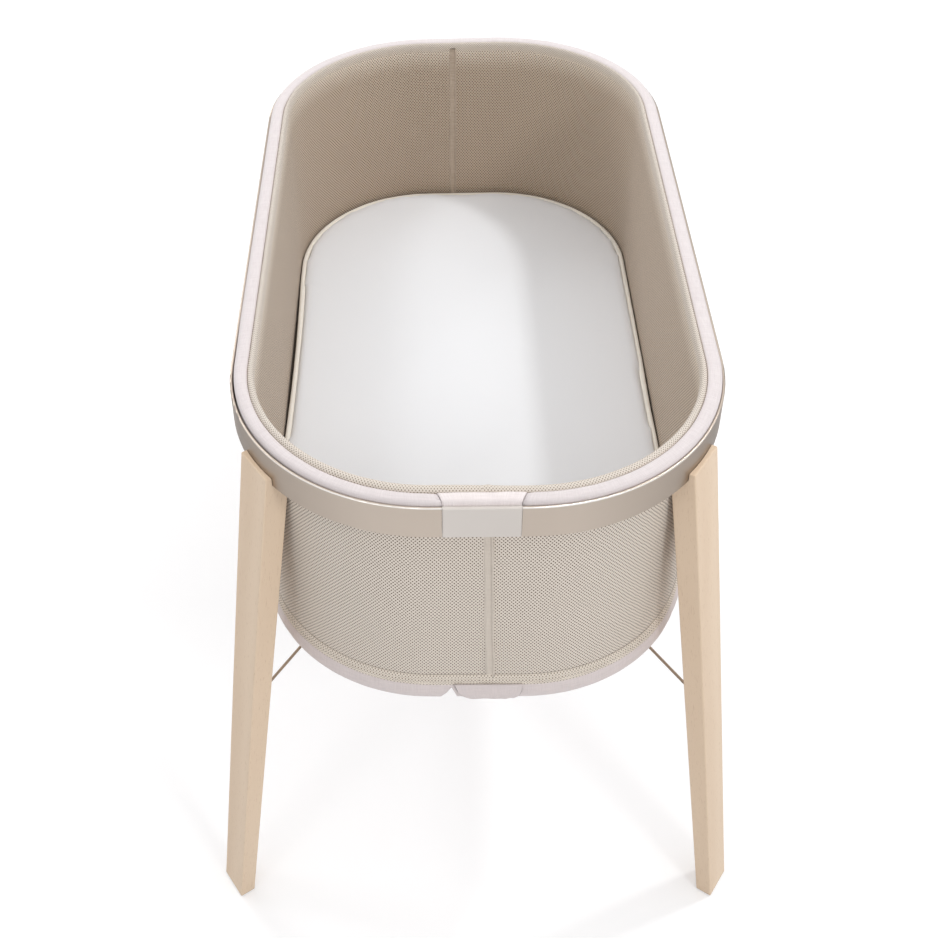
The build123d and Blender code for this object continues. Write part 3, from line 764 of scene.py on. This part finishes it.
front_split = front_seam / rim_girth
rear_split = 0.5 - rear_seam / rim_girth
for side, first, last in (("right", front_split, rear_split), ("left", rear_split, 1.0 + front_split)):
    loops = []
    for step in range(wall_steps + 1):
        share = first + (last - first) * step / wall_steps
        spot, _ = round_the_rim(share, wall_half, wall_radius)
        loops.append(rim_loop(share, wall_section(spot), wall_half, wall_radius))
    wall = skin(f"mesh_{side}", loops, closed=False)
    wall.data.materials.append(mesh_outside)
    wall.data.materials.append(mesh_inside_shaded)
    # Faces that look into the basket take the copy with painted light and shade.
    for face in wall.data.polygons:
        middle = Vector((face.center.x, face.center.y, 0))
        core = [max(-1, min(1, at / flat)) * flat for at, flat in zip(middle, wall_flat)]
        face.material_index = int(face.normal.dot(middle - Vector((*core, 0))) < 0)
    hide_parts(f"mesh_wall_{side}")
    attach(wall, "stand")

# ---------- seam tapes
# Where the two walls meet, the join is covered by a narrow tape with one raised cord edge. It shows on
# the outside at the foot end and on the inside at the head end.
tape_colours = ((196, 184, 172), (212, 202, 190))
inner_tape_colours = ((160, 143, 126), (194, 178, 161))
tape_cloths = {
    "front": woven("tape_cloth", tape_colours, thread=0.8 * mm),
    "rear": woven("inner_tape_cloth", inner_tape_colours, thread=1.6 * mm),
}
tape_tail = {"front": 10 * mm, "rear": 8 * mm}
tape_slant = {"front": 6 * mm, "rear": 0.0}
tape_section = [
    (-5.0, 0.05), (-4.6, 0.8), (-2.0, 1.0), (1.0, 1.0), (2.5, 1.1), (2.9, 2.2), (3.6, 3.0),
    (4.3, 2.2), (4.8, 0.9), (5.2, 0.05),
]  # fmt: skip
tape_rows = 40
tape_sink = 0.4 * mm
for end, shift in (("front", front_seam), ("rear", rear_seam)):
    low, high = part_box(f"{end}_seam_tape")
    loops = []
    for row in range(tape_rows + 1):
        up = low.z - tape_tail[end] + (high.z - low.z + tape_tail[end]) * row / tape_rows
        sway = ripple(Vector((0, low.y, up)), 60 * mm, 2.0) * 0.5 * mm
        lean = tape_slant[end] * (0.5 - row / tape_rows)
        loops.append([
            Vector((x * mm + shift + lean + sway, high.y - (proud * mm - tape_sink), up))
            for x, proud in tape_section
        ])  # fmt: skip
    tape = skin(f"{end}_tape", loops, closed=False)
    tape.data.materials.append(tape_cloths[end])
    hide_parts(f"{end}_seam_tape")
    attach(tape, "stand")

# ---------- hem of the mesh
# The mesh's lower edge is turned up once and sewn through in two rows, which makes a firm double edge
# round the base. The stitches sit in a shallow valley.
hem_colours = ((120, 103, 86), (232, 222, 210), (216, 205, 192))
hem_line = [
    (0.4, 443.6), (1.4, 443.2), (2.6, 443.7), (3.1, 445.2), (2.5, 447.4), (3.0, 449.2), (3.1, 450.8),
    (2.0, 452.6), (2.5, 454.0), (2.1, 455.8), (1.4, 457.4), (0.8, 458.4), (0.4, 458.8), (0.3, 451.0),
]  # fmt: skip
hem_loops = []
for step in range(rim_steps):
    spot, _ = round_the_rim(step / rim_steps, wall_half, wall_radius)
    swell = 1 + ripple(spot, 30 * mm, 7.0) * 0.12
    section = [(away * swell * mm, up * mm) for away, up in hem_line]
    hem_loops.append(rim_loop(step / rim_steps, section, wall_half, wall_radius))
mesh_hem = skin("mesh_hem", hem_loops)
mesh_hem.data.materials.append(mesh_cloth("hem_mesh", hem_colours, 3.6 * mm, 2.2 * mm, 0.5 * mm))
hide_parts("base_hem")
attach(mesh_hem, "stand")
pale_thread = thread_finish("pale_thread", ((238, 230, 218), (220, 209, 196)))
hem_rows = []
for away, up in ((2.7, 447.4), (2.3, 452.6)):
    shares = [step / rim_steps for step in range(rim_steps)]
    seam = [(away * mm, up * mm)]
    hem_rows.append([rim_loop(share, seam, wall_half, wall_radius)[0] for share in shares])
sew("hem_stitches", hem_rows, pale_thread, thickness=1.1 * mm)

# ---------- base cover
# A shallow tray of the rim's cloth closes the bottom. It is sewn below the hem, turns under the board
# with a soft edge, and is notched and gathered beside the flap at the foot end.
base_spread = 1.8 * mm
base_cloth = woven("base_cloth", ((204, 193, 192), (219, 208, 206)))
notch_place = -30 * mm
notch_width = 7 * mm
notch_depth = 11 * mm
base_line = [
    (2.4, 445.0, 0.0), (3.0, 443.0, 0.05), (3.7, 439.0, 0.2), (3.9, 433.0, 0.5), (3.4, 427.0, 0.8),
    (2.0, 422.4, 0.95), (-1.2, 420.0, 1.0), (-6.0, 419.4, 1.0), (-14.0, 420.0, 1.0),
    (-30.0, 422.0, 1.0), (-60.0, 424.5, 1.0), (-110.0, 426.0, 1.0), (-170.0, 427.0, 1.0),
]  # fmt: skip
base_levels = [[] for _ in base_line]
for step in range(rim_steps):
    spot, out = round_the_rim(step / rim_steps, wall_half, wall_radius)
    front = spot.y < -wall_half[1] + 20 * mm
    notch = max(0.0, 1 - abs(spot.x - notch_place) / notch_width) * front
    section = []
    for away, up, tuck in base_line:
        crease = ripple(Vector((spot.x, spot.y, up * mm)), 22 * mm, 4.0) * 0.8
        crease += ripple(spot, 9 * mm, 6.0) * 0.35
        crease *= sin(pi * min(1.0, (445.0 - up) / 25.0)) if away > 0 else 0.0
        lift = notch * notch_depth * tuck * (away > -20)
        spread = base_spread * abs(out.x) * min(1.0, 2 * tuck) * (away > -5)
        section.append(((away + crease) * mm + spread - 0.6 * lift, up * mm + lift))
    for level, point in zip(base_levels, rim_loop(step / rim_steps, section, wall_half, wall_radius)):
        level.append(point)
base_tray = skin("base_tray", base_levels, closed=False, caps=(-1,))
base_tray.data.materials.append(base_cloth)


def plain_copy(piece):
    """The piece's mesh as its modifiers leave it, with the modifiers removed."""
    seen = piece.evaluated_get(bpy.context.evaluated_depsgraph_get())
    mesh = bpy.data.meshes.new_from_object(seen)
    piece.modifiers.clear()
    piece.data = mesh


thickness = base_tray.modifiers.new("thickness", "SOLIDIFY")
thickness.thickness = cloth_thickness
thickness.offset = -1.0
plain_copy(base_tray)
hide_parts("base_cover")
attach(base_tray, "stand")

# ---------- base flap
# A doubled tab of the same cloth hangs below the hem at the foot end. Its left edge is cut on the slant,
# and the free edge curls a little under, with one fold near the right.
_, flap_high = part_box("base_flap")
flap_columns, flap_rows = 44, 14
flap_cloth_thickness = 1.4 * mm
flap_top = flap_high.z - 2.0 * mm
flap_face = wall_half[1] + 3.6 * mm


def flap_point(across, down, proud):
    """Point on the flap: across from 0 to 1, down from 0 at the seam to 1 at the free edge.

    The shape is drawn in millimetres: a slanted left edge, a rounded right end, a curl and one fold.
    """
    left = -24.0 - 2.0 * (1 - down) + 10.0 * down**2
    right = 48.0 - 9.0 * down**3
    x = left + (right - left) * across
    drop = 28.0 * down
    drop -= 2.2 * max(0.0, (x - 23) / 26) * down
    drop -= 3.0 * down * max(0.0, 1 - across * 6) ** 2
    curl = -3.2 * max(0.0, down - 0.55) ** 1.5 * 3
    fold = 1.3 * down * max(0.0, 1 - abs(x - 24 - 6 * down) / 5)
    wave = noise.noise(Vector((x * 0.06, down * 1.6, 8.1))) * 1.1 * down
    return Vector((x * mm, -flap_face - (curl + fold + wave) * mm - proud, flap_top - drop * mm))


loops = []
for column in range(flap_columns + 1):
    across = column / flap_columns
    outer = [flap_point(across, row / flap_rows, flap_cloth_thickness) for row in range(flap_rows + 1)]
    inner = [flap_point(across, row / flap_rows, 0.0) for row in range(flap_rows + 1)]
    loops.append(outer + inner[::-1])
flap_cloth = skin("flap_cloth", loops, closed=False)
flap_cloth.data.materials.append(base_cloth)
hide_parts("base_flap")
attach(flap_cloth, "stand")

# ---------- base board
# A flat moulded board lies in the tray under the mattress. It is grained so that it doesn't slip.
board_shades = ((178, 170, 160), (198, 190, 180))
board_grain = (700, 700, 700)
board_plastic = grained("board_plastic", (188, 180, 170), 0.65, board_shades, board_grain, 3.0, 0.4, 0.1 * mm)
dress(["base_board"], board_plastic)

# ---------- mattress
# A flat foam core in a white knitted cover. The cover is cut a little full at its upper edge, so the foam
# holds it taut and close to the piping. It is simulated as a slightly smaller bag under pressure, and only
# the outward part of what the pressure does is kept.
_, mattress_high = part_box("mattress_cover")
mattress_half = (mattress_high.x - 1.3 * mm, mattress_high.y - 1.3 * mm)
mattress_radius = 179 * mm
mattress_bottom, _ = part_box("mattress_base_sheet")
knit_voxel = 6.5 * mm
bag_pressure = 4.0
bag_frames = 20
most_swell = 2.6 * mm
top_allowance = 0.5 * mm
left_give, right_give = 2.7, 0.9  # mm
bag_line = [
    (-60.0, 0.0), (-20.0, 0.0), (-5.0, 0.2), (-0.6, 1.2), (0.4, 5.0), (0.0, 14.0), (0.0, 24.0),
    (0.0, 34.0), (1.0, 39.5), (2.2, 43.4), (2.0, 47.0), (-1.0, 49.2), (-6.0, 49.4), (-14.0, 48.2),
    (-30.0, 47.2), (-60.0, 47.0),
]  # fmt: skip
bag_floor = mattress_bottom.z + 1.5 * mm


def side_give(spot):
    """How far the long sides stand in from the walls, where the mattress is cut a little slack."""
    left = sin(pi * min(1.0, max(0.0, (spot.y + 125 * mm) / (345 * mm)))) * (spot.x < 0)
    right = sin(pi * min(1.0, max(0.0, (spot.y + 140 * mm) / (190 * mm)))) ** 2 * (spot.x > 0)
    return (left_give * left + right_give * right) * mm


def bag_levels():
    """The cover before it is filled, as level loops from the bottom to the top."""
    levels = []
    for away, up in bag_line:
        level = []
        for step in range(rim_steps):
            spot, _ = round_the_rim(step / rim_steps, mattress_half, mattress_radius)
            section = [(away * mm - side_give(spot), bag_floor + up * mm)]
            level += rim_loop(step / rim_steps, section, mattress_half, mattress_radius)
        levels.append(level)
    return levels


knit_cover = skin("knit_cover", bag_levels()[::-1], closed=False)
remesh = knit_cover.modifiers.new("remesh", "REMESH")
remesh.mode = "VOXEL"
remesh.voxel_size = knit_voxel
plain_copy(knit_cover)
before = [v.co.copy() for v in knit_cover.data.vertices]
bag = knit_cover.modifiers.new("bag", "CLOTH")
bag.settings.use_pressure = True
bag.settings.uniform_pressure_force = bag_pressure
bag.settings.effector_weights.gravity = 0.0
bag.point_cache.frame_start, bag.point_cache.frame_end = 1, bag_frames
for count in range(1, bag_frames + 1):
    bpy.context.scene.frame_set(count)
plain_copy(knit_cover)
bpy.context.scene.frame_set(1)
for v, start in zip(knit_cover.data.vertices, before):
    moved = v.co - start
    outward = Vector((start.x, start.y, 0)).normalized()
    moved -= outward * min(0.0, moved.dot(outward))
    v.co = start + moved
    if moved.length > most_swell:
        v.co = start + moved * (most_swell / moved.length)
    v.co.z = min(max(v.co.z, mattress_bottom.z), mattress_high.z + top_allowance)
for face in knit_cover.data.polygons:
    face.use_smooth = True
finer = knit_cover.modifiers.new("finer", "SUBSURF")
finer.levels = finer.render_levels = 1
plain_copy(knit_cover)

made, tree, shader = finish("mattress_knit", (238, 239, 241), 0.8)
place = coordinate(tree)
wale_pitch, course_pitch = 2.2 * mm, 1.8 * mm
wales = waves(tree, place, 0, wale_pitch)
courses = waves(tree, place, 1, course_pitch)
risers = waves(tree, place, 2, wale_pitch)
loops_of_yarn = maths(tree, "MULTIPLY", wales, courses)
stitch_height = maths(tree, "MULTIPLY_ADD", risers, 0.12, 0.5)
stitch_height = maths(tree, "MULTIPLY_ADD", loops_of_yarn, 0.5, stitch_height)
fine = stretched_noise(tree, place, (1500, 1500, 1500), 2.0)
stitch_height = maths(tree, "MULTIPLY_ADD", fine, 0.3, stitch_height)
crests = steps(tree, stitch_height, 0.2, 1.0)
shade = between(tree, crests, tint((240, 243, 248)), tint((249, 251, 254)))
tree.links.new(shade, shader.inputs["Base Color"])
relief(tree, shader, stitch_height, 0.35, 0.25 * mm)
shader.inputs["Sheen Weight"].default_value = 0.1
knit_cover.data.materials.clear()
knit_cover.data.materials.append(made)
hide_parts("mattress_cover", "mattress_foam", "mattress_base_sheet")
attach(knit_cover, "mattress")

# ---------- piping of the mattress
# A cord in a strip of finely woven cream cotton is sewn in along the top and bottom edges. The top one
# shows a narrow flange where it enters the seam.
piping_cloth = woven("piping_cloth", ((247, 241, 229), (253, 249, 241)), thread=0.7 * mm)
cord_radius = 2.5 * mm
cord_bend = 181 * mm
cord_round = [
    (2.5, 0.0), (2.2, 1.3), (1.2, 2.2), (-0.2, 2.5), (-1.4, 2.1), (-2.2, 1.3), (-2.5, 0.0),
    (-2.2, -1.3), (-1.2, -2.2), (0.2, -2.4), (1.4, -2.0), (2.2, -1.1),
]  # fmt: skip
cord_and_flange = [
    (2.5, 0.0), (2.2, 1.3), (1.2, 2.3), (-0.2, 2.7), (-1.8, 2.8), (-3.4, 2.4), (-4.8, 1.6),
    (-5.0, 0.6), (-3.4, 0.2), (-2.4, -0.4), (-2.1, -1.2), (-1.1, -2.2), (0.2, -2.4), (1.4, -2.0),
    (2.2, -1.1),
]  # fmt: skip
for level in ("top", "bottom"):
    low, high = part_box(f"mattress_piping_{level}")
    piping_half = (high.x - cord_radius, high.y - cord_radius)
    middle = (low.z + high.z) / 2
    lean = 1 if level == "top" else -1
    loops = []
    for step in range(rim_steps):
        spot, _ = round_the_rim(step / rim_steps, piping_half, cord_bend)
        sway = ripple(spot, 40 * mm, 11.0) * 0.3 * mm
        line = cord_and_flange if level == "top" else cord_round
        section = [
            ((away - 0.1) * mm - side_give(spot), middle + lean * sway + up * mm) for away, up in line
        ]
        loops.append(rim_loop(step / rim_steps, section, piping_half, cord_bend))
    piping = skin(f"piping_{level}", loops)
    piping.data.materials.append(piping_cloth)
    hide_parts(f"mattress_piping_{level}")
    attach(piping, "mattress")

# ---------- floor, lights and camera
# A plain pale floor that fades to white far out, and a white surround. A soft lamp stands above each long
# side, two wide low ones stand beyond the foot end, and a broad one stands behind the head end.
floor_size = 12.0
floor_glow = 0.255
fade_start, fade_end = 1.6, 5.0
surround_level = 0.81
surround_slope = 0.16
white = (1, 1, 1, 1)

floor_mesh = bpy.data.meshes.new("floor")
floor_corners = [(x * floor_size, y * floor_size, 0) for x, y in ((-1, -1), (1, -1), (1, 1), (-1, 1))]
floor_mesh.from_pydata(floor_corners, [], [(0, 1, 2, 3)])
floor = placed("floor", floor_mesh)
made = bpy.data.materials.new("pale_floor")
made.use_nodes = True
tree = made.node_tree
tree.nodes.clear()
seen = put(tree, "ShaderNodeLightPath").outputs
straight = maths(tree, "MAXIMUM", seen["Is Camera Ray"], seen["Is Transmission Ray"])
matt = put(tree, "ShaderNodeBsdfDiffuse", [("Color", tint((229, 229, 230)))])
away = put(tree, "ShaderNodeVectorMath", [(0, coordinate(tree))], operation="LENGTH").outputs["Value"]
fade = maths(tree, "ADD", steps(tree, away, fade_start, fade_end), floor_glow)
strength = maths(tree, "MULTIPLY", straight, fade)
glow = put(tree, "ShaderNodeEmission", [("Color", white), ("Strength", strength)])
both = put(tree, "ShaderNodeAddShader", [(0, matt.outputs[0]), (1, glow.outputs[0])])
put(tree, "ShaderNodeOutputMaterial", [("Surface", both.outputs[0])])
floor_mesh.materials.append(made)

world = bpy.data.worlds.new("surround")
bpy.context.scene.world = world
world.use_nodes = True
tree = world.node_tree
tree.nodes.clear()
seen = put(tree, "ShaderNodeLightPath").outputs
straight = maths(tree, "MAXIMUM", seen["Is Camera Ray"], seen["Is Glossy Ray"])
straight = maths(tree, "MAXIMUM", straight, seen["Is Transmission Ray"])
sideways = part_of(tree, coordinate(tree, "Generated"), 0)
dim = maths(tree, "MULTIPLY_ADD", sideways, surround_slope, surround_level)
level = put(tree, "ShaderNodeMix", [(0, straight), (2, dim), (3, 1.0)]).outputs[0]
sky = put(tree, "ShaderNodeBackground", [("Color", white), ("Strength", level)])
put(tree, "ShaderNodeOutputWorld", [("Surface", sky.outputs[0])])

aim = Vector((0, 0, 0.55))
for name, way, distance, size, share in (
    ("lamp_right", (0.6, 0.19, 0.9), 2.6, 0.22, 0.235),
    ("lamp_left", (-0.57, 0.1, 0.88), 2.6, 0.45, 0.085),
    ("lamp_foot_right", (0.42, -0.66, 0.5), 3.0, 0.5, 0.14),
    ("lamp_foot_left", (-0.42, -0.62, 0.5), 3.0, 0.5, 0.05),
    ("lamp_head", (-0.5, 0.5, 0.42), 3.0, 1.0, 0.22),
):
    lamp = bpy.data.lights.new(name, "AREA")
    lamp.size = size
    lamp.energy = share * pi**2 * distance**2
    holder = placed(name, lamp)
    holder.location = aim + Vector(way).normalized() * distance
    holder.rotation_euler = Vector(way).to_track_quat("Z", "Y").to_euler()

camera = bpy.data.cameras.new("camera")
camera.lens = 54.02
camera.sensor_width = 36.0
camera.shift_x, camera.shift_y = 0.0902, -0.0865
viewer = placed("camera", camera)
viewer.location = (-0.04543, -1.39937, 1.69506)
viewer.rotation_euler = (0.8551, 0.0326, 0.0170)
bpy.context.scene.camera = viewer
bpy.context.scene.view_settings.view_transform = "Standard"
